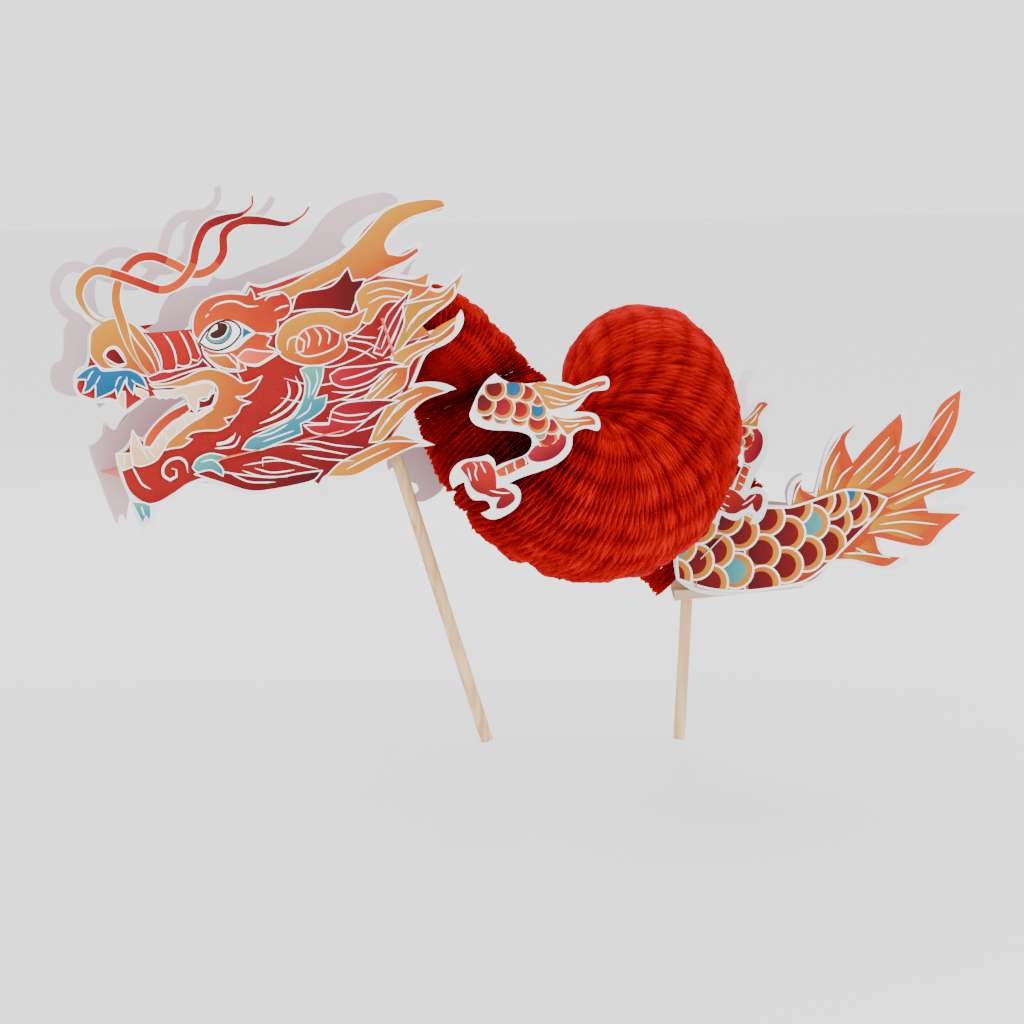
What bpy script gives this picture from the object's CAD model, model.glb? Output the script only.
import math

import bpy
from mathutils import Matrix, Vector, noise


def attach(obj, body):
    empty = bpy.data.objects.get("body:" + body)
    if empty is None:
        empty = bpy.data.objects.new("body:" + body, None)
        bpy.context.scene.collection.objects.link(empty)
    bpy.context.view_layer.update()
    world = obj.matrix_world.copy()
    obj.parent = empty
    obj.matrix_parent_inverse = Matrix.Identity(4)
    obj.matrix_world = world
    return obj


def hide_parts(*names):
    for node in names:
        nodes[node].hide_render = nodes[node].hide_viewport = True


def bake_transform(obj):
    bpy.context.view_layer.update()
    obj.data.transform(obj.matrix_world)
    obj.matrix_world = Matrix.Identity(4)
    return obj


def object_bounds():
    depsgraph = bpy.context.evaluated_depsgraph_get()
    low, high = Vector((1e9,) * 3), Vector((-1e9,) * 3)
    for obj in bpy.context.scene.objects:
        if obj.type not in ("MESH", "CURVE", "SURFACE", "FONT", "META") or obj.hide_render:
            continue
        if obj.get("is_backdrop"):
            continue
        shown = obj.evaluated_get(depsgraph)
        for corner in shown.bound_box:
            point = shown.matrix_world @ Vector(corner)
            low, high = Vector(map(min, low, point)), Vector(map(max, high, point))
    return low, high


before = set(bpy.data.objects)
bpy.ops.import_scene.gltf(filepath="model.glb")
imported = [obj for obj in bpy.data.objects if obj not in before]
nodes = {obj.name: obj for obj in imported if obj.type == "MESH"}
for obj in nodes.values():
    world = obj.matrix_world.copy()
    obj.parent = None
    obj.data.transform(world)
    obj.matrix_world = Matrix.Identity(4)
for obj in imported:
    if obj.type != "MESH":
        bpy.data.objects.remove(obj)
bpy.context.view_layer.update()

# ---- Camera --------------------------------------------------
# A long lens about two metres away, a little above the puppet and to the left of its nose, so that
# the printed left side, the near loop of the body and the inside of the far card all show.
camera = bpy.data.objects.new("camera", bpy.data.cameras.new("camera"))
bpy.context.scene.collection.objects.link(camera)
camera.data.lens = 120.85
camera.data.sensor_width = 36
camera.data.clip_end = 50
camera.location = (-0.9008, -1.9696, 0.4130)
camera.rotation_euler = (math.radians(83), 0, math.radians(-25))
bpy.context.scene.camera = camera

# ---- Floor and backdrop --------------------------------------
# A plain pale sweep: a wide floor just under the ends of the two sticks, and a sky of the same
# paper white that lights everything evenly.
floor_reach = 9
floor_height = -0.045
floor_mesh = bpy.data.meshes.new("floor")
floor_mesh.from_pydata(
    [(x * floor_reach, y * floor_reach, floor_height) for x, y in ((-1, -1), (1, -1), (1, 1), (-1, 1))],
    [],
    [(0, 1, 2, 3)],
)
floor = bpy.data.objects.new("floor", floor_mesh)
bpy.context.scene.collection.objects.link(floor)
floor_paint = bpy.data.materials.new("floor_paint")
floor_paint.use_nodes = True
floor_shader = floor_paint.node_tree.nodes["Principled BSDF"]
floor_shader.inputs["Base Color"].default_value = (0.88, 0.88, 0.89, 1)
floor_shader.inputs["Roughness"].default_value = 0.9
floor_mesh.materials.append(floor_paint)
floor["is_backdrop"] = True
sky = bpy.data.worlds.new("sky")
sky.use_nodes = True
sky.node_tree.nodes["Background"].inputs["Color"].default_value = (1, 1, 1, 1)
sky.node_tree.nodes["Background"].inputs["Strength"].default_value = 2.0
bpy.context.scene.world = sky


# ---- Lights --------------------------------------------------
# Four square soft boxes: one over the left shoulder, one low on the left, one on the right, and one
# behind that shines through the tissue.
def soft_box(name, place, aim, size, power):
    lamp = bpy.data.lights.new(name, "AREA")
    lamp.shape = "SQUARE"
    lamp.size = size
    lamp.energy = power
    box = bpy.data.objects.new(name, lamp)
    box.location = place
    box.rotation_euler = (Vector(aim) - Vector(place)).to_track_quat("-Z", "Y").to_euler()
    bpy.context.scene.collection.objects.link(box)
    box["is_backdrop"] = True
    return box


soft_box("key_light", (-1.1, -1.5, 1.5), (0.05, 0.0, 0.18), 0.9, 13)
soft_box("fill_light", (1.5, -1.2, 0.7), (0.1, 0.0, 0.18), 1.2, 14)
soft_box("low_light", (-0.9, -1.5, 0.1), (0.05, 0.0, 0.18), 0.7, 7)
soft_box("back_light", (0.7, 1.6, 1.2), (0.1, 0.0, 0.2), 0.9, 16)


# ---- Printed card --------------------------------------------
# All the art is four-colour print on white card with a glossy varnish. Only the outside is printed:
# the back of the card is bare and takes on a grey-pink tint, and the cut edge shows its white core.
def new_material(name):
    """A material with its node tree and its shader."""
    material = bpy.data.materials.new(name)
    material.use_nodes = True
    return material, material.node_tree, material.node_tree.nodes["Principled BSDF"]


def wire(tree, *links):
    """Joins outputs of nodes to inputs of others."""
    for source, output, target, socket in links:
        tree.links.new(source.outputs[output], target.inputs[socket])


def grain_of(tree, scale, detail=2):
    """A noise texture; a finer grain has a larger scale."""
    texture = tree.nodes.new("ShaderNodeTexNoise")
    texture.inputs["Scale"].default_value = scale
    texture.inputs["Detail"].default_value = detail
    return texture


def sum_of(tree, operation, number):
    """A sum whose second term is a fixed number."""
    node = tree.nodes.new("ShaderNodeMath")
    node.operation = operation
    node.inputs[1].default_value = number
    return node


def colour_mix(tree, first, second):
    """A mix of two colours."""
    mix = tree.nodes.new("ShaderNodeMix")
    mix.data_type = "RGBA"
    mix.inputs["A"].default_value = (*first, 1)
    mix.inputs["B"].default_value = (*second, 1)
    return mix


def coat(name, material):
    """Gives a CAD piece one material all over."""
    nodes[name].data.materials.clear()
    nodes[name].data.materials.append(material)


def card_stock(name, colour, speckle, rough):
    """Bare or coated card: a faint fibre speckle and a shallow bump."""
    material, tree, shader = new_material(name)
    place = tree.nodes.new("ShaderNodeTexCoord")
    fibre = grain_of(tree, 900, 4)
    cloud = grain_of(tree, 24)
    blend_in = tree.nodes.new("ShaderNodeMix")
    blend_in.data_type = "RGBA"
    blend_in.inputs["Factor"].default_value = 0.5
    mix = colour_mix(tree, [c * speckle for c in colour], colour)
    bump = tree.nodes.new("ShaderNodeBump")
    bump.inputs["Strength"].default_value = 0.12
    bump.inputs["Distance"].default_value = 0.0002
    wire(
        tree, (place, "Object", fibre, "Vector"), (place, "Object", cloud, "Vector"),
        (fibre, "Fac", blend_in, "A"), (cloud, "Fac", blend_in, "B"), (blend_in, "Result", mix, "Factor"),
        (mix, "Result", shader, "Base Color"), (fibre, "Fac", bump, "Height"),
        (bump, "Normal", shader, "Normal"),
    )
    shader.inputs["Roughness"].default_value = rough
    return material


def ink(name, dark, light):
    """One printed colour: it runs from dark to light along "tone", broken up by the grain of the print."""
    material, tree, shader = new_material(name)
    place = tree.nodes.new("ShaderNodeTexCoord")
    tone = tree.nodes.new("ShaderNodeAttribute")
    tone.attribute_name = "tone"
    grain = grain_of(tree, 1400, 2)
    wash = grain_of(tree, 60)
    level = sum_of(tree, "MULTIPLY_ADD", 0.5)
    spread = sum_of(tree, "MULTIPLY_ADD", 0.35)
    shift = sum_of(tree, "SUBTRACT", 0.42)
    shift.use_clamp = True
    mix = colour_mix(tree, dark, light)
    wire(
        tree, (place, "Object", grain, "Vector"), (place, "Object", wash, "Vector"),
        (grain, "Fac", level, 0), (tone, "Fac", level, 2), (wash, "Fac", spread, 0),
        (level, "Value", spread, 2), (spread, "Value", shift, 0), (shift, "Value", mix, "Factor"),
        (mix, "Result", shader, "Base Color"),
    )
    shader.inputs["Roughness"].default_value = 0.5
    shader.inputs["Specular IOR Level"].default_value = 0.12
    return material


ink_tones = {  # dark and light end of each ink
    "gold": ((0.38, 0.030, 0.003), (0.50, 0.21, 0.006)),
    "olive_gold": ((0.42, 0.08, 0.003), (0.36, 0.22, 0.012)),
    "orange": ((0.30, 0.004, 0.004), (0.50, 0.060, 0.004)),
    "red": ((0.10, 0.001, 0.004), (0.40, 0.008, 0.005)),
    "crimson": ((0.11, 0.001, 0.006), (0.34, 0.003, 0.016)),
    "deep_red": ((0.045, 0.001, 0.002), (0.17, 0.002, 0.004)),
    "coral": ((0.52, 0.04, 0.02), (0.70, 0.13, 0.06)),
    "brown": ((0.014, 0.004, 0.003), (0.06, 0.012, 0.007)),
    "blue": ((0.002, 0.08, 0.14), (0.003, 0.10, 0.27)),
    "teal": ((0.006, 0.12, 0.20), (0.08, 0.33, 0.27)),
    "cream": ((0.72, 0.38, 0.17), (0.88, 0.68, 0.42)),
    "white": ((0.84, 0.84, 0.86), (0.94, 0.94, 0.95)),
}
inks = {name: ink("ink_" + name, *tones) for name, tones in ink_tones.items()}
card_face = card_stock("card_face", (0.86, 0.86, 0.90), 0.93, 0.4)
card_back = card_stock("card_back", (0.64, 0.50, 0.53), 0.90, 0.7)
card_edge = card_stock("card_edge", (0.74, 0.70, 0.70), 0.85, 0.8)


def smooth(points, closed):
    """A smooth line through the points that keeps its sharp corners."""
    count = len(points)
    line = []
    for i in range(count if closed else count - 1):
        before, start, end, after = (Vector(points[(i + k) % count]) for k in (-1, 0, 1, 2))
        if not closed and i == 0:
            before = start
        if not closed and i == count - 2:
            after = end
        chord = (end - start).length
        leave, arrive = (end - before) / 2, (after - start) / 2
        if (start - before).length > 1e-6 and (start - before).angle(end - start) > 1.1:
            leave = end - start
        if (after - end).length > 1e-6 and (after - end).angle(end - start) > 1.1:
            arrive = end - start
        for way in (leave, arrive):
            if way.length > chord:
                way *= chord / way.length
        steps = max(2, min(8, int(chord / 1.5)))
        for k in range(steps):
            t = k / steps
            line.append(
                start * (2 * t**3 - 3 * t**2 + 1)
                + leave * (t**3 - 2 * t**2 + t)
                + end * (3 * t**2 - 2 * t**3)
                + arrive * (t**3 - t**2)
            )
    if not closed:
        line.append(Vector(points[-1]))
    return line


def ribbon(line, width, closed):
    """Points down both sides of a line; an open one tapers at its ends."""
    count = len(line)
    left, right = [], []
    for i, point in enumerate(line):
        before = line[(i - 1) % count] if closed or i else point
        after = line[(i + 1) % count] if closed or i < count - 1 else point
        way = after - before
        if way.length < 1e-9:
            way = Vector((1, 0))
        way.normalize()
        reach = width / 2
        if not closed:
            reach *= max(0.25, min(1, 6 * min(i, count - 1 - i) / count))
        left.append(point + Vector((-way.y, way.x)) * reach)
        right.append(point - Vector((-way.y, way.x)) * reach)
    return left, right


def inset(points, border):
    """The outline moved in by a border; sharp tips draw back further."""
    count = len(points)
    area = sum(a[0] * b[1] - b[0] * a[1] for a, b in zip(points, points[1:] + points[:1]))
    turn = 1 if area > 0 else -1
    moved = []
    for i in range(count):
        before, here, after = (Vector(points[(i + k) % count]) for k in (-1, 0, 1))
        first = (here - before).normalized()
        second = (after - here).normalized()
        normal = Vector((-(first.y + second.y), first.x + second.x)) * turn
        if normal.length < 1e-6:
            normal = Vector((-first.y, first.x)) * turn
        normal.normalize()
        lean = max(0.28, abs(normal.dot(Vector((-first.y, first.x)))))
        moved.append(tuple(here + normal * (border / lean)))
    return moved


card_thickness = 0.0006
first_layer = 0.00003  # the ink's height over the card
shape_step = 0.00002  # each shape lies this much over the last one
line_step = 0.00001
rim_width = 0.9  # width in millimetres of the white line round each printed shape


class Print:
    """One sheet's art: flat shapes of ink, each a hair above the one before it."""

    def __init__(self, name, to_world):
        self.name = name
        self.to_world = to_world
        self.height = first_layer
        self.points, self.faces, self.tones, self.colours = [], [], [], []

    def add(self, colour, outline, tones):
        start = len(self.points)
        self.points += [self.to_world(p[0], p[1], self.height) for p in outline]
        self.tones += tones
        self.faces.append(tuple(range(start, start + len(outline))))
        self.colours.append(colour)

    def shape(self, colour, slant, points, rim=rim_width):
        line = smooth(points, True)
        heading = Vector((math.cos(math.radians(slant)), math.sin(math.radians(slant))))
        along = [p.dot(heading) for p in line]
        low, high = min(along), max(along)
        self.height += shape_step
        self.add(colour, line, [1 - (a - low) / (high - low) for a in along])
        if rim:
            self.stroke("white", rim, line, True)

    def stroke(self, colour, width, line, closed):
        left, right = ribbon(line, width, closed)
        count = len(line)
        self.height += line_step
        for i in range(count if closed else count - 1):
            j = (i + 1) % count
            self.add(colour, (left[i], left[j], right[j], right[i]), [0.7] * 4)

    def line(self, width, points):
        self.stroke("white", width, smooth(points, False), False)

    def ring(self, colour, width, points):
        self.stroke(colour, width, smooth(points, True), True)

    def make(self, body):
        mesh = bpy.data.meshes.new(self.name)
        mesh.from_pydata(self.points, [], self.faces)
        used = sorted(set(self.colours))
        for colour in used:
            mesh.materials.append(inks[colour])
        for face, colour in zip(mesh.polygons, self.colours):
            face.material_index = used.index(colour)
        tone = mesh.attributes.new("tone", "FLOAT", "POINT")
        tone.data.foreach_set("value", self.tones)
        art = bpy.data.objects.new(self.name, mesh)
        bpy.context.scene.collection.objects.link(art)
        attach(art, body)
        return art


def face_card(name, outward):
    """Gives a die-cut card its white face, bare back and cut edge."""
    mesh = nodes[name].data
    mesh.materials.clear()
    for material in (card_face, card_back, card_edge):
        mesh.materials.append(material)
    for face in mesh.polygons:
        lean = face.normal.dot(Vector(outward))
        face.material_index = 0 if lean > 0.5 else 1 if lean < -0.5 else 2


# ---- Head panels ---------------------------------------------
# Two mirror-image die-cut cards, printed with the dragon's face. They lean together towards the snout
# and are held apart by the mouth floor and the neck bridge, whose tabs come through slots in them.
head_outline = [
    (-146, 302), (-131, 307), (-117, 313), (-107, 321), (-99, 331), (-88, 340), (-76, 345), (-62, 348),
    (-49, 348), (-43, 342), (-48, 338), (-60, 336), (-71, 331), (-80, 325), (-84, 319), (-79, 315),
    (-71, 318), (-62, 321), (-63, 314), (-70, 308), (-84, 302), (-67, 300), (-54, 305), (-57, 294),
    (-50, 292), (-40, 299), (-30, 307), (-39, 288), (-57, 274), (-68, 263), (-57, 266), (-36, 279),
    (-39, 263), (-57, 253), (-67, 234), (-57, 235), (-39, 230), (-62, 222), (-78, 203), (-53, 196),
    (-76, 194), (-89, 187), (-103, 179), (-123, 178), (-128, 172), (-138, 178), (-149, 175), (-165, 170),
    (-178, 171), (-199, 179), (-209, 177), (-219, 171), (-229, 166), (-238, 166), (-248, 174), (-253, 187),
    (-255, 198), (-249, 202), (-244, 212), (-238, 207), (-230, 216), (-221, 224), (-212, 229), (-227, 230),
    (-238, 228), (-249, 221), (-257, 229), (-267, 229), (-277, 233), (-280, 240), (-273, 251), (-271, 262),
    (-270, 271), (-265, 277), (-258, 280), (-249, 279), (-237, 272), (-209, 273), (-206, 282), (-198, 289),
    (-188, 293), (-176, 293), (-172, 299), (-163, 297), (-155, 299),
]
whiskers = {
    "front": [(-262, 276), (-270, 281), (-276, 292), (-274, 301), (-266, 307), (-255, 305), (-241, 300),
              (-226, 295), (-215, 299), (-207, 309), (-204, 321), (-198, 332), (-186, 337), (-177, 339),
              (-170, 344), (-169.5, 350)],
    "back": [(-234, 244), (-240, 251), (-246, 262), (-250, 275), (-254, 290), (-251, 303), (-242, 313),
             (-231, 315), (-218, 310), (-206, 304), (-195, 307), (-188, 316), (-187, 328), (-177, 335),
             (-163, 335), (-148, 333), (-138, 338), (-134, 343)],
}
toe_in = math.radians(4.2)
head_half_gap = 0.0425  # centre plane to a panel at X = 0
head_border = 2.0  # millimetres of white card left round the print
for side, panel in ((1, "head_panel_left"), (-1, "head_panel_right")):
    face_card(panel, (0, -side, 0))

    def on_panel(u, v, lift, side=side):
        out = card_thickness + lift
        x = u / 1000 * math.cos(toe_in) - out * math.sin(toe_in)
        y = -head_half_gap - u / 1000 * math.sin(toe_in) - out * math.cos(toe_in)
        return (x, side * y, v / 1000)

    sheet = Print("head_art_" + panel[11:], on_panel)
    fill, line, ring = sheet.shape, sheet.line, sheet.ring

    # the ground colour, inside a white border
    ground = inset(head_outline, head_border)
    fill("red", -55, ground, rim=0)
    # the horn and the tips of the locks are gold right up to the border
    for first, last in ((0, 21), (20, 31), (30, 35), (34, 39), (38, 43)):
        fill("gold", 200, ground[first:last], rim=0)
    # fine white hairs along the locks
    for hair in (
        [(-146, 262), (-128, 256), (-110, 262), (-96, 272)],
        [(-140, 250), (-122, 246), (-106, 250), (-92, 258)],
        [(-150, 240), (-130, 235), (-112, 238), (-98, 245)],
        [(-152, 228), (-132, 224), (-114, 226), (-100, 232)],
        [(-148, 216), (-130, 212), (-114, 213), (-100, 218)], [(-96, 214), (-84, 222), (-74, 230)],
        [(-104, 206), (-92, 209), (-80, 214)], [(-170, 196), (-150, 200), (-134, 198), (-120, 194)],
        [(-176, 188), (-156, 190), (-140, 188)], [(-86, 250), (-74, 254), (-62, 262)],
        [(-90, 268), (-78, 276), (-66, 284)], [(-186, 212), (-178, 222), (-176, 236), (-180, 246)],
    ):
        sheet.line(0.8, hair)
    # horn, and the dark hollow under it
    fill("gold", -60, [
        (-166, 291), (-147, 296), (-133, 303), (-118, 310), (-106, 319), (-95, 330), (-85, 340), (-72, 345),
        (-57, 347), (-48, 346), (-46, 342), (-57, 339), (-70, 335), (-80, 328), (-85, 320), (-83, 314),
        (-74, 313), (-64, 318), (-63, 315), (-72, 309), (-85, 304), (-97, 298), (-108, 297), (-114, 300),
        (-131, 293), (-143, 289), (-151, 287),
    ])
    fill("deep_red", 0, [
        (-140, 291), (-120, 295), (-109, 306), (-106, 298), (-98, 299), (-105, 284), (-107, 279),
        (-122, 281), (-137, 281), (-145, 280),
    ])
    # mane: locks of gold and crimson with fine white hairs
    fill("gold", 20, [
        (-104, 289), (-97, 296), (-81, 298), (-59, 294), (-54, 297), (-59, 290), (-70, 285), (-85, 284),
        (-95, 272), (-101, 273), (-102, 280),
    ])
    fill("crimson", 80, [
        (-93, 254), (-88, 266), (-83, 278), (-68, 292), (-73, 280), (-80, 262), (-87, 252),
    ])
    fill("olive_gold", 30, [
        (-73, 272), (-74, 283), (-62, 285), (-49, 287), (-40, 295), (-41, 287), (-53, 277), (-65, 267),
        (-75, 256), (-82, 250), (-78, 260),
    ])
    fill("gold", 10, [
        (-82, 244), (-79, 253), (-66, 259), (-51, 263), (-39, 272), (-41, 265), (-53, 257), (-66, 250),
        (-72, 243),
    ])
    fill("crimson", 0, [
        (-121, 241), (-114, 245), (-95, 246), (-83, 248), (-73, 246), (-85, 243), (-96, 236), (-110, 233),
        (-119, 236),
    ])
    fill("gold", 20, [(-100, 224), (-91, 236), (-81, 244), (-70, 245), (-73, 233), (-85, 226), (-94, 221)])
    fill("gold", 25, [
        (-96, 199), (-91, 210), (-82, 224), (-72, 229), (-60, 233), (-44, 229), (-58, 225), (-68, 219),
        (-80, 208), (-88, 200),
    ])
    fill("crimson", 15, [
        (-138, 211), (-122, 211), (-119, 220), (-110, 224), (-91, 225), (-76, 224), (-91, 218), (-104, 208),
        (-115, 204), (-131, 206),
    ])
    fill("gold", 15, [
        (-124, 179), (-115, 187), (-102, 193), (-85, 199), (-60, 198), (-74, 193), (-92, 185), (-106, 179),
    ])
    fill("deep_red", 0, [
        (-207, 184), (-197, 186), (-181, 183), (-158, 180), (-138, 182), (-126, 183), (-132, 177),
        (-154, 173), (-171, 172), (-187, 177),
    ])
    for vein in (
        [(-97, 290), (-85, 293), (-68, 289)], [(-96, 284), (-87, 288), (-74, 287)],
        [(-88, 256), (-82, 270), (-72, 286)], [(-85, 254), (-77, 270), (-71, 282)],
        [(-72, 266), (-66, 275), (-53, 282)], [(-68, 271), (-62, 279), (-47, 285)],
        [(-75, 246), (-68, 252), (-53, 259)], [(-110, 262), (-97, 260), (-89, 256)],
        [(-110, 258), (-100, 255), (-91, 250)], [(-111, 267), (-102, 264), (-91, 263)],
        [(-114, 238), (-104, 240), (-91, 244)], [(-120, 231), (-110, 230), (-98, 232), (-85, 240)],
        [(-117, 226), (-104, 226), (-93, 231), (-81, 241)], [(-96, 224), (-87, 232), (-78, 241)],
        [(-85, 210), (-77, 221), (-62, 228)], [(-91, 203), (-83, 214), (-72, 223)],
        [(-121, 219), (-110, 216), (-96, 217)], [(-123, 215), (-110, 212), (-98, 213), (-85, 221)],
        [(-144, 201), (-131, 201), (-117, 198), (-100, 196)], [(-143, 197), (-129, 196), (-110, 192)],
        [(-139, 193), (-125, 190), (-106, 188)], [(-111, 183), (-98, 189), (-83, 195)],
        [(-164, 187), (-164, 192), (-158, 192), (-144, 188), (-129, 184)],
        [(-169, 186), (-158, 183), (-144, 184)], [(-185, 184), (-173, 178), (-156, 177)],
        [(-177, 185), (-165, 181), (-148, 180)],
    ):
        line(0.9, vein)
    # ear
    fill("gold", -70, [
        (-155, 263), (-150, 273), (-137, 279), (-122, 280), (-110, 276), (-97, 281), (-103, 269),
        (-112, 265), (-110, 257), (-116, 251), (-129, 247), (-143, 249), (-152, 254),
    ])
    fill("orange", 0, [
        (-142, 257), (-141, 265), (-135, 270), (-125, 271), (-114, 266), (-116, 259), (-127, 254),
        (-137, 253),
    ])
    for vein in (
        [(-137, 269), (-134, 264), (-135, 258)], [(-131, 270), (-127, 265), (-128, 259)],
        [(-125, 270), (-121, 266), (-122, 260)],
        [(-148, 257), (-147, 263), (-142, 265), (-137, 262), (-138, 256), (-143, 255)],
    ):
        line(1, vein)
    # snout wrinkles
    fill("crimson", 0, [
        (-235, 243), (-227, 246), (-217, 247), (-204, 250), (-201, 253), (-196, 248), (-204, 247),
        (-215, 244), (-224, 241), (-233, 240),
    ])
    for vein in (
        [(-236, 269), (-231, 263), (-227, 255), (-226, 248)],
        [(-225, 269), (-221, 264), (-218, 257), (-217, 250)],
        [(-215, 270), (-212, 265), (-209, 258), (-208, 253)],
        [(-209, 270), (-206, 265), (-204, 260), (-202, 255)],
    ):
        line(1.1, vein)
    line(0.9, [
        (-226, 248), (-223, 246), (-218, 247), (-217, 250), (-213, 249), (-209, 250), (-208, 253),
        (-204, 252), (-202, 255),
    ])
    # cheek and chin
    fill("teal", -60, [
        (-140, 245), (-135, 247), (-125, 247), (-126, 239), (-131, 227), (-123, 229), (-125, 221),
        (-133, 215), (-140, 212), (-139, 206), (-154, 201), (-166, 197), (-177, 198), (-172, 204),
        (-158, 210), (-144, 217), (-138, 228), (-137, 237),
    ])
    fill("teal", -60, [
        (-208, 188), (-205, 193), (-197, 196), (-187, 194), (-193, 191), (-189, 186), (-189, 182),
        (-197, 186), (-205, 185),
    ])
    fill("teal", -90, [
        (-246, 169), (-238, 168), (-234, 166), (-234, 160), (-235, 156), (-237, 160), (-239, 155),
        (-242, 161),
    ])
    for vein in (
        [(-137, 243), (-134, 237), (-135, 227)], [(-130, 245), (-129, 238), (-133, 229)],
        [(-133, 225), (-135, 220), (-143, 215)], [(-148, 212), (-158, 207), (-168, 205)],
        [(-144, 208), (-154, 205), (-164, 202)], [(-203, 191), (-195, 192), (-189, 186)],
        [(-240, 166), (-238, 160)],
    ):
        line(0.9, vein)
    line(1.6, [(-143, 241), (-140, 232), (-146, 223), (-155, 217), (-166, 213)])
    line(1.3, [(-148, 238), (-147, 230), (-153, 223), (-159, 219)])
    line(1, [(-138, 228), (-146, 217), (-160, 211), (-170, 208)])
    for vein in (
        [(-181, 208), (-184, 203), (-193, 201)], [(-178, 206), (-182, 200), (-194, 199)],
    ):
        line(1.2, vein)
    line(1.1, [(-193, 202), (-187, 203), (-181, 207)])
    line(1.6, [
        (-211, 185), (-212, 191), (-216, 194), (-222, 193), (-226, 189), (-226, 184), (-222, 181),
        (-218, 183), (-218, 187), (-221, 188),
    ])
    line(1.1, [(-245, 190), (-242, 184), (-239, 179), (-234, 176)])
    # brow and eye
    fill("orange", 35, [
        (-206, 267), (-207, 274), (-205, 282), (-200, 288), (-192, 291), (-183, 292), (-173, 291),
        (-171, 295), (-169, 292), (-168, 288), (-159, 291), (-151, 292), (-146, 287), (-146, 280),
        (-150, 276), (-154, 275), (-154, 270), (-157, 267), (-162, 267), (-158, 265), (-161, 260),
        (-152, 256), (-159, 252), (-167, 248), (-175, 249), (-174, 246), (-179, 245), (-189, 246),
        (-196, 251), (-200, 256), (-202, 263),
    ])
    fill("gold", -60, [
        (-201, 258), (-196, 255), (-186, 255), (-183, 252), (-180, 249), (-179, 246), (-187, 247),
        (-195, 251),
    ])
    fill("coral", 0, [
        (-174, 258), (-166, 257), (-154, 256), (-161, 252), (-167, 249), (-176, 250), (-180, 253),
    ])
    line(1.1, [(-196, 282), (-193, 285), (-187, 287), (-180, 287), (-173, 284), (-166, 284)])
    for vein in (
        [(-199, 278), (-197, 280)], [(-162, 287), (-159, 290), (-152, 291)],
        [(-156, 281), (-152, 283), (-147, 284)], [(-154, 275), (-154, 270), (-157, 267), (-168, 268)],
        [(-184, 256), (-180, 253), (-178, 246)],
    ):
        line(1, vein)
    fill("white", 0, [
        (-204, 264), (-200, 270), (-195, 274), (-188, 276), (-180, 275), (-174, 272), (-168, 268),
        (-174, 264), (-180, 259), (-188, 257), (-196, 258), (-201, 261),
    ])
    fill("blue", 0, [(-176, 272), (-169, 268), (-174, 266), (-181, 259), (-177, 264)])
    fill("teal", 0, [
        (-199, 266), (-196, 271), (-191, 275), (-185, 274), (-183, 270), (-185, 265), (-190, 262),
        (-196, 263),
    ])
    fill("brown", -45, [
        (-197, 267), (-195, 272), (-191, 275), (-186, 274), (-185, 271), (-187, 267), (-191, 265),
        (-195, 265),
    ])
    fill("white", 0, [(-197, 270), (-195, 273), (-192, 273), (-192, 271), (-196, 269)])
    ring("brown", 1.1, [
        (-203, 263), (-199, 269), (-193, 274), (-186, 276), (-180, 274), (-177, 269), (-180, 264),
        (-185, 260), (-192, 258), (-199, 260),
    ])
    ring("brown", 0.8, [
        (-199, 266), (-196, 271), (-191, 275), (-185, 274), (-183, 270), (-185, 265), (-190, 262),
        (-196, 263),
    ])
    # lips, teeth and tongue
    fill("gold", -20, [
        (-234, 239), (-224, 239), (-213, 242), (-204, 246), (-196, 247), (-188, 245), (-182, 242),
        (-176, 238), (-170, 239), (-164, 242), (-169, 234), (-175, 230), (-181, 230), (-178, 228),
        (-171, 226), (-177, 224), (-180, 219), (-188, 217), (-185, 213), (-192, 210), (-200, 210),
        (-208, 209), (-212, 206), (-208, 205), (-214, 201), (-221, 200), (-226, 199), (-224, 204),
        (-217, 210), (-209, 216), (-203, 220), (-196, 224), (-193, 228), (-192, 234), (-194, 238),
        (-199, 240), (-206, 239), (-213, 237), (-222, 237), (-231, 237),
    ])
    fill("orange", 20, [
        (-238, 202), (-237, 207), (-231, 215), (-222, 222), (-211, 227), (-209, 223), (-214, 219),
        (-220, 216), (-227, 210), (-231, 205), (-234, 201),
    ])
    fill("deep_red", 0, [
        (-204, 229), (-201, 228), (-198, 229), (-196, 232), (-193, 233), (-194, 229), (-196, 225),
        (-204, 223),
    ])
    fill("cream", 0, [
        (-232, 235), (-227, 235), (-220, 235), (-213, 237), (-206, 238), (-199, 239), (-194, 237),
        (-194, 233), (-196, 234), (-198, 230), (-201, 230), (-204, 229), (-205, 222), (-206, 221),
        (-209, 225), (-212, 231), (-215, 232), (-218, 230), (-221, 231), (-224, 230), (-226, 231),
        (-228, 230),
    ])
    fill("cream", 0, [
        (-243, 237), (-239, 236), (-235, 234), (-235, 232), (-238, 230), (-240, 232), (-242, 233),
    ])
    fill("cream", 0, [
        (-252, 235), (-249, 235), (-249, 229), (-249, 223), (-252, 226), (-256, 230), (-254, 230),
    ])
    fill("cream", -90, [
        (-245, 212), (-243, 209), (-240, 204), (-239, 201), (-233, 201), (-231, 205), (-227, 208),
        (-226, 211), (-222, 213), (-220, 215), (-217, 217), (-213, 220), (-209, 221), (-206, 220),
        (-202, 222), (-197, 224), (-195, 223), (-203, 218), (-209, 215), (-217, 209), (-223, 204),
        (-226, 199), (-231, 193), (-240, 190), (-244, 191), (-246, 200),
    ])
    fill("cream", 0, [(-255, 198), (-250, 198), (-246, 198), (-245, 190), (-251, 188), (-254, 193)])
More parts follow.
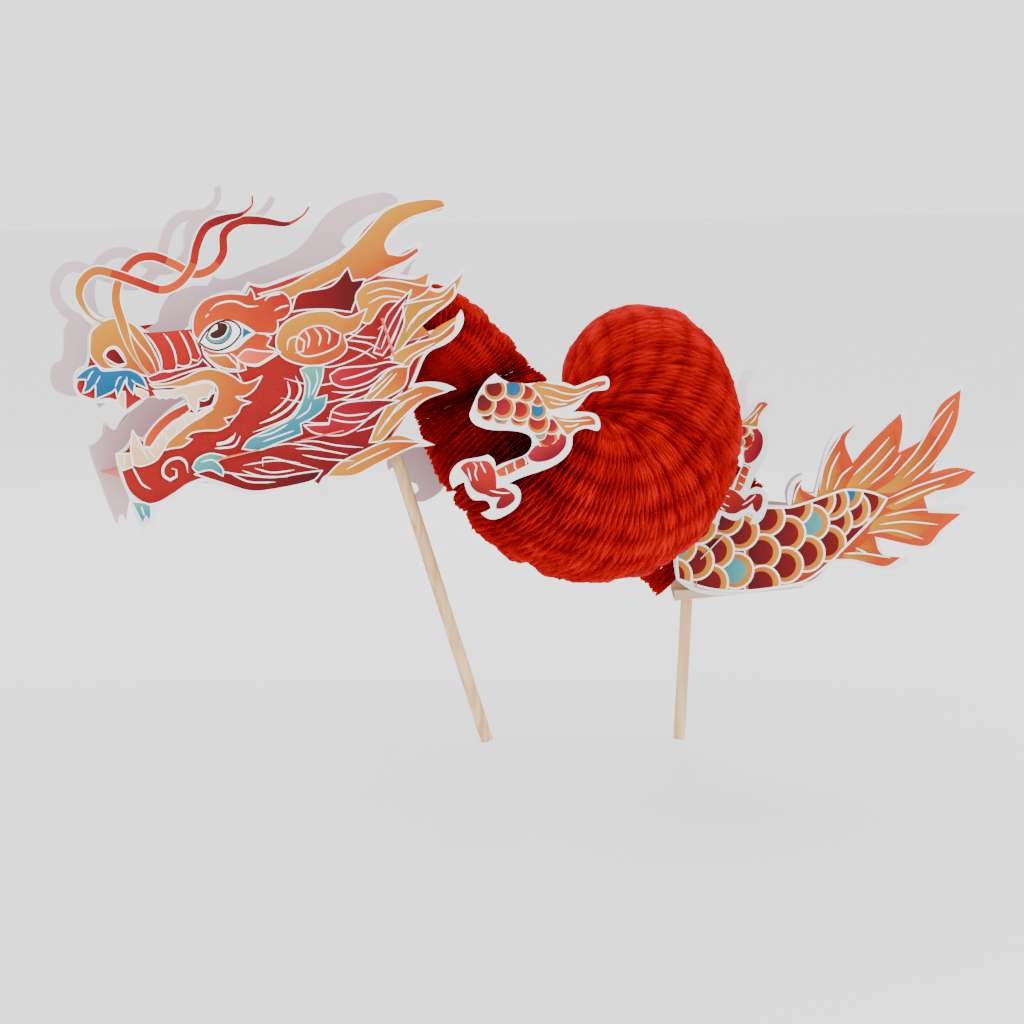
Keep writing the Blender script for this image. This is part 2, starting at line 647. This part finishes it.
    for vein in (
        [(-231, 205), (-229, 203), (-230, 200)], [(-226, 210), (-224, 207), (-224, 204)],
        [(-220, 215), (-217, 212), (-218, 209)], [(-214, 219), (-212, 216), (-213, 213)],
        [(-235, 201), (-234, 198), (-231, 195)], [(-240, 201), (-237, 197), (-235, 193)],
        [(-250, 198), (-250, 193), (-250, 189)],
    ):
        line(0.7, vein)
    # nose, moustache and whiskers
    fill("gold", -50, [
        (-270, 265), (-269, 271), (-265, 275), (-260, 278), (-253, 279), (-247, 277), (-242, 274),
        (-237, 268), (-233, 262), (-229, 254), (-227, 247), (-230, 245), (-236, 244), (-242, 246),
        (-248, 248), (-254, 249), (-262, 249), (-267, 253), (-270, 258),
    ])
    fill("deep_red", 0, [
        (-261, 257), (-259, 260), (-255, 261), (-252, 258), (-250, 255), (-248, 252), (-253, 251),
        (-257, 253), (-260, 255),
    ])
    line(1, [(-261, 254), (-262, 257), (-259, 261), (-255, 262), (-252, 260), (-250, 257), (-248, 254)])
    for vein in (
        [(-261, 254), (-258, 251), (-253, 250), (-248, 251)],
        [(-247, 276), (-245, 270), (-241, 264), (-236, 258), (-232, 252), (-230, 246)],
    ):
        line(0.9, vein)
    fill("blue", -80, [
        (-279, 244), (-273, 249), (-266, 251), (-263, 248), (-254, 248), (-246, 248), (-239, 244),
        (-235, 236), (-239, 238), (-243, 240), (-244, 233), (-247, 237), (-249, 242), (-252, 235),
        (-254, 232), (-255, 237), (-257, 235), (-267, 231), (-267, 236), (-267, 240), (-271, 236),
        (-275, 235), (-273, 240), (-273, 243), (-279, 243),
    ])
    for vein in (
        [(-272, 242), (-270, 246), (-268, 248)], [(-267, 240), (-264, 245)],
        [(-255, 238), (-253, 243), (-251, 244)], [(-248, 239), (-248, 242), (-248, 244)],
        [(-243, 240), (-245, 242)],
    ):
        line(0.8, vein)
    for strand in (
        whiskers["back"], whiskers["front"],
    ):
        path = smooth(strand, False)
        for colour, width in (("white", 6.4), (None, 5.0)):
            left, right = ribbon(path, width, False)
            sheet.height += shape_step
            for i in range(len(path) - 1):
                share = i / len(path)
                tint = colour or ("gold" if share < 0.3 else "orange" if share < 0.62 else "red")
                corners = (left[i], left[i + 1], right[i + 1], right[i])
                sheet.add(tint, corners, [(1 - share * 2.2) % 1] * 4)
    sheet.make("head")

# ---- Legs ----------------------------------------------------
# Four cards cut from one die: a scaled thigh with two gold tufts, a red knee, a banded shin and a
# clawed foot. Each is stuck to the tissue with one foam pad behind the thigh.
thigh = [
    (-9.8, 7.2), (2.4, 8.9), (13.8, 8), (20.4, 4), (26.1, -3.8), (30.2, -11.1), (34.3, -16.8),
    (37.5, -21.7), (35.5, -26.6), (29, -31), (21.6, -30.7), (19, -22), (13, -18.5), (7.3, -17.5),
    (-4.1, -16.6), (-11.5, -14), (-14.3, -9.5), (-13.9, -2.2),
]
thigh_scales = [
    (-3.3, 4.2, 6.4, "deep_red"), (8.3, 4.2, 5.9, "blue"), (16.1, 1.8, 5.4, "red"),
    (23, -2.6, 3.4, "orange"), (-9.7, -4.8, 6.5, "deep_red"), (1.6, -7.1, 6.9, "crimson"),
    (12.4, -8.7, 6, "red"), (23, -9.1, 5.1, "blue"), (-8, -12.1, 3.6, "deep_red"),
    (0.6, -12.8, 4.7, "blue"), (11.4, -13.6, 5.1, "red"), (23.2, -16.4, 6.4, "red"),
    (31.6, -18.5, 4.7, "crimson"), (29.4, -26.6, 5.9, "red"), (24.5, -23.4, 3.3, "teal"),
]


def clip(points, region):
    """The part of an outline, whatever its shape, that lies inside a convex region."""
    area = sum(a[0] * b[1] - b[0] * a[1] for a, b in zip(region, region[1:] + region[:1]))
    turn = 1 if area > 0 else -1
    for a, b in zip(region, region[1:] + region[:1]):
        kept = []
        for p, q in zip(points, points[1:] + points[:1]):
            inside = [turn * ((b[0] - a[0]) * (r[1] - a[1]) - (b[1] - a[1]) * (r[0] - a[0])) for r in (p, q)]
            if inside[0] >= 0:
                kept.append(p)
            if (inside[0] >= 0) != (inside[1] >= 0):
                share = inside[0] / (inside[0] - inside[1])
                kept.append((p[0] + (q[0] - p[0]) * share, p[1] + (q[1] - p[1]) * share))
        points = kept
        if not points:
            break
    return points


disc_sides = 28
scale_step = 0.000006


def scale_rows(sheet, scales, region, heading):
    """Overlapping scales, each a coloured heart in a gold ring and a white line, laid from the far end."""
    way = Vector((math.cos(math.radians(heading)), math.sin(math.radians(heading))))
    for x, y, r, colour in sorted(scales, key=lambda s: -Vector(s[:2]).dot(way)):
        sheet.height += shape_step
        for size, drop, tint in ((1.12, 0, "white"), (1.0, 0, "gold"), (0.74, 0.1, colour)):
            turns = [math.tau * k / disc_sides for k in range(disc_sides)]
            middle = Vector((x, y)) - way * (drop * r)
            disc = [(middle.x + r * size * math.cos(a), middle.y + r * size * math.sin(a)) for a in turns]
            disc = clip(region, disc)
            sheet.height += scale_step
            if len(disc) > 2:
                spread = [(Vector(p) - Vector((x, y))).dot(way) / r * 0.4 + 0.5 for p in disc]
                sheet.add(tint, disc, spread)


for name, hip, turn, spin, side, size, body in (
    ("front_leg_left", (-21, -66, 227), -25, 0, 1, 1.0, "fold_3"),
    ("front_leg_right", (-17, 40, 226), 5, -6, -1, 1.0, "fold_2"),
    ("rear_leg_left", (183.6, 66.2, 177.5), -25, 44, 1, 0.92, "tail"),
    ("rear_leg_right", (212, 146, 155), 20, -5, 1, 0.92, "tail"),
):
    level = Vector((math.cos(math.radians(turn)), math.sin(math.radians(turn)), 0))
    across = level * math.cos(math.radians(spin)) + Vector((0, 0, math.sin(math.radians(spin))))
    normal = level.cross(Vector((0, 0, 1)))
    upward = normal.cross(across)
    face_card(name, normal * side)

    def on_leg(x, y, lift, hip=hip, across=across, upward=upward, normal=normal, side=side, size=size):
        place = Vector(hip) / 1000 + (across * x + upward * y) * (size / 1000)
        return tuple(place + normal * side * (card_thickness + lift))

    sheet = Print(name + "_art", on_leg)
    if name == "rear_leg_left":
        # the round cut that clears the body takes the upper tuft and the hip with it
        thigh_here = clip(thigh, [(-60, -9.5), (15, -8.5), (40, 8), (60, -60), (-60, -60)])
    else:
        thigh_here = thigh
        sheet.shape("gold", 10, [
            (18.7, 6.4), (23.6, 8.9), (31, 7.5), (37.5, 6.5), (46.5, 4.6), (53, 7), (59.6, 9), (64.5, 9.5),
            (64.5, 7.2), (59.6, 5.2), (55.5, 3.7), (49.8, -1.3), (43.2, -5.4), (35.1, -7.5), (30.2, -8),
            (26.9, -4.6), (24.5, 0.3), (21.2, 4),
        ], rim=0)
        for hair in (
            [(23.6, 6), (31.8, 4.4), (38.3, 1.9), (46.5, 1.1), (53, 3.6), (59.6, 6.4)],
            [(26.9, 0.3), (33.4, -1.3), (40, -3), (46.5, -1.3), (53, 1.9)],
            [(30.2, -3.4), (35.1, -5), (40.8, -4.6)],
        ):
            sheet.line(0.8, hair)
    sheet.shape("gold", 10, [
        (31, -11.5), (38.3, -13.6), (46.5, -13.4), (53.8, -12), (57.7, -14.4), (58.3, -17.5), (51.4, -18.1),
        (46.5, -19.7), (43.2, -22.6), (41, -23.8), (37.5, -19.3),
    ], rim=0)
    for hair in (
        [(35.1, -14.4), (41.6, -15.2), (48.1, -15.2), (55.5, -14.5)],
        [(39.2, -18.5), (44, -18.5), (48.1, -16.8)],
    ):
        sheet.line(0.8, hair)
    sheet.shape("crimson", -60, [
        (37.1, -22.6), (40.6, -25), (39.8, -30.7), (35.1, -36.4), (28.5, -39.7), (22, -40.5), (17.9, -38.9),
        (16.7, -36.4), (21.6, -30.5), (26.9, -30), (33.4, -28.7),
    ], rim=0)
    sheet.shape("orange", 40, [
        (15.5, -36.8), (17.5, -41.6), (10.6, -45.2), (4, -48.6), (-0.5, -49.5), (-3, -46), (2.4, -43),
        (8.9, -39.7),
    ], rim=0)
    sheet.shape("red", -100, [
        (-3.3, -46), (-2.5, -52), (-2.5, -56.8), (2.7, -56.5), (8.8, -61), (8.3, -64.8), (2.4, -69),
        (-2.5, -69.5), (-2.5, -66.5), (0, -62.2), (-5.7, -62.2), (-9, -60.7), (-13.9, -59.3), (-17.6, -56),
        (-20, -50.3), (-22.5, -47), (-24.5, -44.4), (-22.9, -42), (-18.8, -40.1), (-13.9, -40.1),
        (-9.2, -39.7), (-6.5, -41),
    ], rim=0)
    scale_rows(sheet, thigh_scales, thigh_here, -50)
    for band in (
        [(13.8, -36.8), (15.9, -39.7), (15.5, -42.2)], [(8.5, -39.7), (8.9, -43.8), (10.2, -45.4)],
        [(3.2, -43.8), (4, -47.1), (4.6, -48.6)],
        [(-16.8, -40.7), (-14.7, -43), (-15.5, -47.9), (-13.9, -52)],
        [(-12.3, -40.5), (-11.1, -43), (-9, -47.1)], [(-6.5, -58), (0, -59.5), (6, -59.5)],
        [(-20, -44), (-19, -48), (-18, -52)],
    ):
        sheet.line(0.9, band)
    sheet.make(body)

# ---- Foam pads -----------------------------------------------
# Squares of closed-cell double-sided foam tape, one behind each leg card. They are stuck to the
# card on one side and to the rims of the tissue leaves on the other.
foam = card_stock("foam", (0.78, 0.78, 0.74), 0.6, 0.95)
foam.node_tree.nodes["Noise Texture"].inputs["Scale"].default_value = 2600
for name in ("front_leg_pad_left", "front_leg_pad_right", "rear_leg_pad_left", "rear_leg_pad_right"):
    coat(name, foam)

# ---- Tail panels ---------------------------------------------
# Two die-cut cards printed with scales and flames. They stand apart at the front, where the body goes
# in between them, and are glued back to back from the end of the scales outwards.
tail_half_gap = 26  # millimetres from the centre plane to a panel at the front edge
tail_meet = 108  # and from the front edge to where the panels meet
glue_gap = 0.05
tail_border = 1.9
tail_along = Vector((math.cos(math.radians(-25)), math.sin(math.radians(-25)), 0))
tail_depth = Vector((0, 0, 1)).cross(tail_along)
tail_front = Vector((209, 88, 0)) - tail_along * 21
tail_outline = [
    (-5, 88), (-5, 105), (4, 122), (28, 131), (52, 133), (73, 132), (76, 147), (84, 153), (84, 144),
    (91, 140), (95, 158), (103, 176), (123, 192), (114, 175), (118, 164), (130, 178), (151, 198),
    (153, 184), (151, 171), (163, 178), (175, 201), (193, 215), (189, 185), (174, 156), (188, 159),
    (206, 155), (191, 143), (168, 138), (171, 128), (197, 127), (180, 113), (168, 101), (136, 107),
    (139, 99), (157, 96), (140, 87), (118, 92), (104, 91), (96, 82), (87, 77), (60, 75), (36, 73), (12, 75),
]
tail_scale_field = [
    (-3, 84), (-4, 98), (-3, 110), (6, 121), (28, 128.5), (52, 131), (73, 131), (86, 134), (102, 139),
    (114, 142), (129, 140.5), (141, 136), (134, 125), (118, 108), (102, 92), (85, 80), (68, 76.5),
    (44, 74.5), (20, 76.5),
]
tail_scales = [
    (u, v, 11.6, tint)
    for tint, centres in (
        (
            "deep_red",
            [
                (11, 120), (29, 125), (40, 115), (55, 100.5), (72.5, 112.5), (102.5, 134), (117, 128.5),
                (128, 134), (105, 120.5), (77, 130.5), (93, 135), (9, 95.5), (23, 102.5), (19, 81),
                (55, 79), (71, 91), (86, 98.5), (101, 105), (-6, 86), (58, 124), (118, 114),
            ],
        ),
        ("teal", [(89, 119.5), (36.5, 88.5), (-3, 106.5)]),
        ("blue", [(112, 140)]),
    )
    for u, v in centres
]
far = 9e3
tail_halves = (
    ([(tail_meet, -far), (tail_meet, far), (-far, far), (-far, -far)], -0.001),
    ([(tail_meet, -far), (far, -far), (far, far), (tail_meet, far)], 0.001),
)


class TailPrint(Print):
    """Art that is parted along the line where the card bends."""

    def add(self, colour, outline, tones):
        ends = [p[0] for p in outline]
        if min(ends) >= tail_meet or max(ends) <= tail_meet:
            shift = 0.0001 if min(ends) >= tail_meet else 0
            Print.add(self, colour, [(p[0] + shift, p[1]) for p in outline], tones)
            return
        corners = [tuple(p) for p in outline]
        for half, shift in tail_halves:
            part = clip(corners, half)
            if len(part) > 2:
                near = [min(range(len(corners)), key=lambda i: math.dist(corners[i], q)) for q in part]
                Print.add(self, colour, [(q[0] + shift, q[1]) for q in part], [tones[i] for i in near])


for side, name in ((-1, "tail_panel_left"), (1, "tail_panel_right")):
    face_card(name, tail_depth * side)

    def on_tail(u, v, lift, side=side):
        share = u / tail_meet
        apart = max(glue_gap, tail_half_gap * (1 - share) + glue_gap * share)
        place = tail_front + tail_along * u + tail_depth * (side * apart)
        out = tail_depth * side
        if u < tail_meet:
            out = (tail_depth * side * tail_meet + tail_along * tail_half_gap).normalized()
        return tuple(place / 1000 + Vector((0, 0, v / 1000)) + out * (card_thickness + lift))

    sheet = TailPrint(name + "_art", on_tail)
    sheet.shape("orange", 190, inset(tail_outline, tail_border), rim=0)
    for flame in (
        [
            (91, 133), (96, 148), (100, 162), (106, 172), (108, 160), (112, 150), (118, 146), (112, 138),
            (100, 134),
        ],
        [(112, 142), (120, 155), (132, 168), (146, 184), (147, 172), (140, 160), (134, 150), (128, 143)],
        [(132, 140), (146, 150), (158, 165), (170, 180), (176, 176), (172, 160), (160, 148), (146, 140)],
        [(140, 130), (158, 140), (176, 146), (190, 152), (176, 142), (160, 134), (148, 128)],
        [(134, 122), (150, 128), (164, 124), (182, 125), (170, 116), (158, 108), (140, 112), (128, 112)],
        [(110, 96), (120, 100), (128, 108), (134, 102), (140, 95), (130, 92), (118, 94)],
        [(73, 130), (78, 138), (80, 146), (82, 138), (88, 134)],
    ):
        sheet.shape("gold", 20, flame, rim=0)
    scale_rows(sheet, tail_scales, tail_scale_field, 0)
    sheet.stroke("white", 1.6, smooth(tail_scale_field, True), True)
    for flame_line in (
        [(94, 142), (97, 158), (104, 172), (111, 182)], [(99, 142), (102, 156), (108, 168)],
        [(104, 142), (110, 152), (117, 158)], [(118, 152), (130, 164), (142, 178)],
        [(122, 146), (134, 158), (146, 172)], [(130, 146), (142, 156), (150, 166)],
        [(146, 152), (160, 168), (172, 188), (186, 204)], [(152, 150), (166, 164), (178, 182), (185, 196)],
        [(158, 148), (172, 160), (182, 174)], [(142, 136), (160, 144), (178, 150), (194, 155)],
        [(146, 132), (164, 140), (180, 146)], [(140, 124), (160, 128), (186, 128)],
        [(136, 118), (154, 120), (176, 118)], [(128, 112), (146, 114), (166, 108)],
        [(112, 98), (126, 98), (144, 95)], [(120, 102), (128, 98)], [(76, 134), (78, 142), (82, 149)],
    ):
        sheet.line(1.1, flame_line)
    sheet.make("tail")

# ---- Sticks --------------------------------------------------
# Two lengths of 8 mm softwood dowel, sawn square and lightly sanded. One is glued to the bridge inside
# the head, the other to the bridge inside the tail.
wood, tree, shader = new_material("dowel_wood")
place = tree.nodes.new("ShaderNodeTexCoord")
stretch = tree.nodes.new("ShaderNodeMapping")
stretch.inputs["Scale"].default_value = (260, 260, 14)
grain = grain_of(tree, 1, 6)
ramp = tree.nodes.new("ShaderNodeValToRGB")
ramp.color_ramp.elements[0].position = 0.35
ramp.color_ramp.elements[0].color = (0.50, 0.27, 0.10, 1)
ramp.color_ramp.elements[1].position = 0.62
ramp.color_ramp.elements[1].color = (0.76, 0.52, 0.26, 1)
bump = tree.nodes.new("ShaderNodeBump")
bump.inputs["Strength"].default_value = 0.2
bump.inputs["Distance"].default_value = 0.0003
wire(
    tree, (place, "Object", stretch, "Vector"), (stretch, "Vector", grain, "Vector"),
    (grain, "Fac", ramp, "Fac"), (ramp, "Color", shader, "Base Color"), (grain, "Fac", bump, "Height"),
    (bump, "Normal", shader, "Normal"),
)
shader.inputs["Roughness"].default_value = 0.6
for name in ("head_stick", "tail_stick"):
    coat(name, wood)

# ---- Inner cards ---------------------------------------------
# The mouth floor and the two bridges are coral card whose tabs show on the outside of the panels; the
# round end cards are plain white card, and the keel is folded from brown kraft card.
coral = card_stock("coral_card", (0.80, 0.16, 0.11), 0.88, 0.55)
kraft = card_stock("kraft_card", (0.60, 0.44, 0.27), 0.78, 0.8)
for name, material, slot in (
    ("mouth_floor", coral, "coral_card"),
    ("neck_bridge", coral, "coral_card"),
    ("tail_bridge", coral, "coral_card"),
    ("tail_keel", kraft, "kraft_card"),
    ("front_end_card", card_edge, "plain_card"),
    ("rear_end_card", card_edge, "plain_card"),
):
    coat(name, material)

# ---- Tissue body ---------------------------------------------
# Red honeycomb tissue: many thin leaves, each glued to the next along spokes that lie between the
# spokes of the glue behind it, so that they open into cells. The ends are glued to the end cards.
tissue, tree, shader = new_material("red_tissue")
tree.nodes.remove(shader)
output = tree.nodes["Material Output"]
place = tree.nodes.new("ShaderNodeTexCoord")
mottle = grain_of(tree, 55, 5)
fibre = grain_of(tree, 700, 3)
both = sum_of(tree, "MULTIPLY_ADD", 0.45)
ramp = tree.nodes.new("ShaderNodeValToRGB")
ramp.color_ramp.elements[0].position = 0.50
ramp.color_ramp.elements[0].color = (0.40, 0.0004, 0.006, 1)
ramp.color_ramp.elements[1].position = 0.92
ramp.color_ramp.elements[1].color = (0.74, 0.004, 0.010, 1)
surface = tree.nodes.new("ShaderNodeBsdfDiffuse")
through = tree.nodes.new("ShaderNodeBsdfTranslucent")
sheen = tree.nodes.new("ShaderNodeBsdfGlossy")
sheen.inputs["Roughness"].default_value = 0.45
sheen.inputs["Color"].default_value = (0.9, 0.25, 0.2, 1)
paper = tree.nodes.new("ShaderNodeMixShader")
paper.inputs["Fac"].default_value = 0.55
finish = tree.nodes.new("ShaderNodeMixShader")
finish.inputs["Fac"].default_value = 0.05
wire(
    tree, (place, "Object", mottle, "Vector"), (place, "Object", fibre, "Vector"), (fibre, "Fac", both, 0),
    (mottle, "Fac", both, 2), (both, "Value", ramp, "Fac"), (ramp, "Color", surface, "Color"),
    (ramp, "Color", through, "Color"), (surface, "BSDF", paper, 1), (through, "BSDF", paper, 2),
    (paper, "Shader", finish, 1), (sheen, "BSDF", finish, 2), (finish, "Shader", output, "Surface"),
)

# where the leaves are: the centre, width and height of each flat CAD leaf, in order from the head
rings = []
for section in range(1, 10):
    mesh = nodes["tissue_section_%d" % section].data
    links = {}
    for face in mesh.polygons:
        for vertex in face.vertices:
            links.setdefault(vertex, set()).update(face.vertices)
    seen, found = set(), []
    for start in links:
        if start in seen:
            continue
        todo, island = [start], []
        while todo:
            vertex = todo.pop()
            if vertex in seen:
                continue
            seen.add(vertex)
            island.append(mesh.vertices[vertex].co)
            todo += links[vertex] - seen
        low = Vector([min(p[k] for p in island) for k in range(3)])
        high = Vector([max(p[k] for p in island) for k in range(3)])
        middle = (low + high) / 2
        if all((middle - other[0]).length > 0.002 for other in found):
            found.append((middle, island))
    for middle, island in found:
        far = max(island, key=lambda p: abs((p - middle).z))
        spoke = max(island, key=lambda p: (p - middle).cross(far - middle).length)
        normal = (far - middle).cross(spoke - middle).normalized()
        level = Vector((0, 0, 1)).cross(normal).normalized()
        upright = normal.cross(level)
        wide = max(abs((p - middle).dot(level)) for p in island)
        tall = max(abs((p - middle).dot(upright)) for p in island)
        rings.append([middle, normal, wide, tall, section])
neck = Vector((-0.08, 0, 0.262))
chain = [min(rings, key=lambda r: (r[0] - neck).length)]
rings.remove(chain[0])
while rings:
    nearest = min(rings, key=lambda r: (r[0] - chain[-1][0]).length)
    chain.append(nearest)
    rings.remove(nearest)
for i, leaf in enumerate(chain):
    ahead = chain[min(i + 1, len(chain) - 1)][0] - chain[max(i - 1, 0)][0]
    if leaf[1].dot(ahead) < 0:
        leaf[1] = -leaf[1]

spokes = 18  # glue lines round a leaf
sides = spokes * 4
crimp = 0.505  # how far a leaf reaches towards the next one at a spoke
easing = 0.06  # how fast a leaf's frame turns back to level
leaves_in_pleat = 12
between = 8  # paper leaves for each CAD leaf
radii = (0.01, 0.36, 0.64, 0.84, 0.95, 1.0)
leaves = []
level = Vector((0, 0, 1)).cross(chain[0][1]).normalized()
for i in range(len(chain) - 1):
    a, b = chain[i], chain[i + 1]
    before, after = chain[max(i - 1, 0)], chain[min(i + 2, len(chain) - 1)]
    for k in range(between if i < len(chain) - 2 else between + 1):
        t = k / between
        centre = (
            a[0] * (2 * t**3 - 3 * t**2 + 1)
            + (b[0] - before[0]) / 2 * (t**3 - 2 * t**2 + t)
            + b[0] * (3 * t**2 - 2 * t**3)
            + (after[0] - a[0]) / 2 * (t**3 - t**2)
        )
        normal = a[1].lerp(b[1], t).normalized()
        # carried along from leaf to leaf without twisting, and eased back to level where it can be
        straight = Vector((0, 0, 1)).cross(normal)
        if straight.dot(level) < 0:
            straight = -straight
        level = level - normal * level.dot(normal) + straight * easing
        level.normalize()
        upright = normal.cross(level)
        leaves.append((centre, level, upright, a[2] + (b[2] - a[2]) * t, a[3] + (b[3] - a[3]) * t, i + t))


def flat_leaf(number):
    """The leaf's points before it is pleated: a ring for each radius, with a ragged, gently scalloped rim."""
    centre, level, upright, wide, tall, _ = leaves[number]
    place = number + 2.2 * math.sin(number * 0.31) + 1.1 * math.sin(number * 0.83)
    ridge = abs(math.sin(math.pi * place / leaves_in_pleat))
    points = []
    for share in radii:
        for k in range(sides):
            angle = math.tau * k / sides
            around = Vector((math.cos(angle), math.sin(angle), 0))
            rough = noise.noise(around * 3 + Vector((0, 0, number * 0.12))) * 0.035
            ragged = noise.noise(around * 17 + Vector((0, 0, number * 1.7))) * 0.03
            droop = 0.05 * max(0, noise.noise(Vector((number * 2.3, 0, 9)))) * max(0, -math.sin(angle)) ** 2
            depth = 0.6 + noise.noise(around * 1.5 + Vector((0, 5, number * 0.04)))
            fold = 0.13 * (1 - ridge) ** 1.5 * depth
            reach = share * (1 + share**4 * (rough + ragged + droop - fold))
            points.append(
                centre + level * (wide * reach * math.cos(angle)) + upright * (tall * reach * math.sin(angle))
            )
    return points


flat_leaves = [flat_leaf(i) for i in range(len(leaves))]
slant = (0, 0, 4, 1, 0, 0)  # the glue lines wander, so that no cell can be seen through
wave = [1 - abs((k / sides * spokes) % 2 - 1) * 2 for k in range(sides)]
middles = []
for section in range(1, 10):
    members = [i for i, leaf in enumerate(chain) if leaf[4] == section]
    middles.append((members[0] + members[-1]) / 2)
spans = [(-1, middles[0])] + list(zip(middles, middles[1:])) + [(middles[-1], 99)]
for piece, (low, high) in enumerate(spans):
    members = [i for i, leaf in enumerate(leaves) if low <= leaf[5] < high]
    points, faces = [], []
    for i in members:
        ahead = flat_leaves[min(i + 1, len(leaves) - 1)]
        behind = flat_leaves[max(i - 1, 0)]
        turn = 1 if i % 2 else -1
        base = len(points)
        for index, point in enumerate(flat_leaves[i]):
            push = wave[(index + slant[index // sides]) % sides] * turn
            other = ahead[index] if push > 0 else behind[index]
            points.append(tuple(point + (other - point) * (crimp * abs(push))))
        for ring_number in range(len(radii) - 1):
            for k in range(sides):
                a = base + ring_number * sides + k
                b = base + ring_number * sides + (k + 1) % sides
                faces.append((a, b, b + sides, a + sides))
    mesh = bpy.data.meshes.new("tissue_part_%d" % (piece + 1))
    mesh.from_pydata(points, [], faces)
    mesh.materials.append(tissue)
    part = bpy.data.objects.new("tissue_part_%d" % (piece + 1), mesh)
    bpy.context.scene.collection.objects.link(part)
    if piece == 0:
        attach(part, "head")
    elif piece == 9:
        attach(part, "tail")
    else:
        first, last = leaves[members[0]][0], leaves[members[-1]][0]
        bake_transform(part)
    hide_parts("tissue_section_%d" % min(piece + 1, 9))

low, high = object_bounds()
